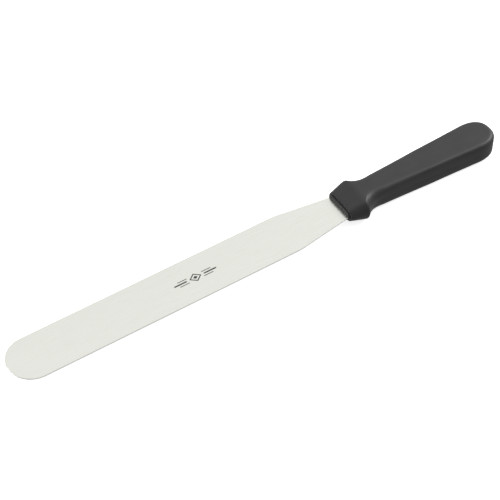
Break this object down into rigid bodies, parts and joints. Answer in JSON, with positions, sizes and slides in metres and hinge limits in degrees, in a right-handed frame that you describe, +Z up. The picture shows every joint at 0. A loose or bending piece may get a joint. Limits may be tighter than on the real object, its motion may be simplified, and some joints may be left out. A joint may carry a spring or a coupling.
{
  "type": "straight icing spatula",
  "caption": "Straight round-tipped icing spatula: a thin flat steel blade tapering into the flared collar of a moulded black handle.",
  "frame": {"origin": "On the plane that the handle's underside rests on, below the centre of the whole tool.", "axes": "+X along the tool from the blade's tip to the handle's butt, +Y across the blade, +Z up, square to the blade."},
  "size_m": [0.384, 0.035, 0.0176],
  "materials": {
    "blade_steel": "fine lengthwise satin polish",
    "handle_plastic": "moulded, low sheen"
  },
  "bodies": {
    "root": {"blade": "blade_steel", "handle": "handle_plastic"}
  },
  "joints": []
}
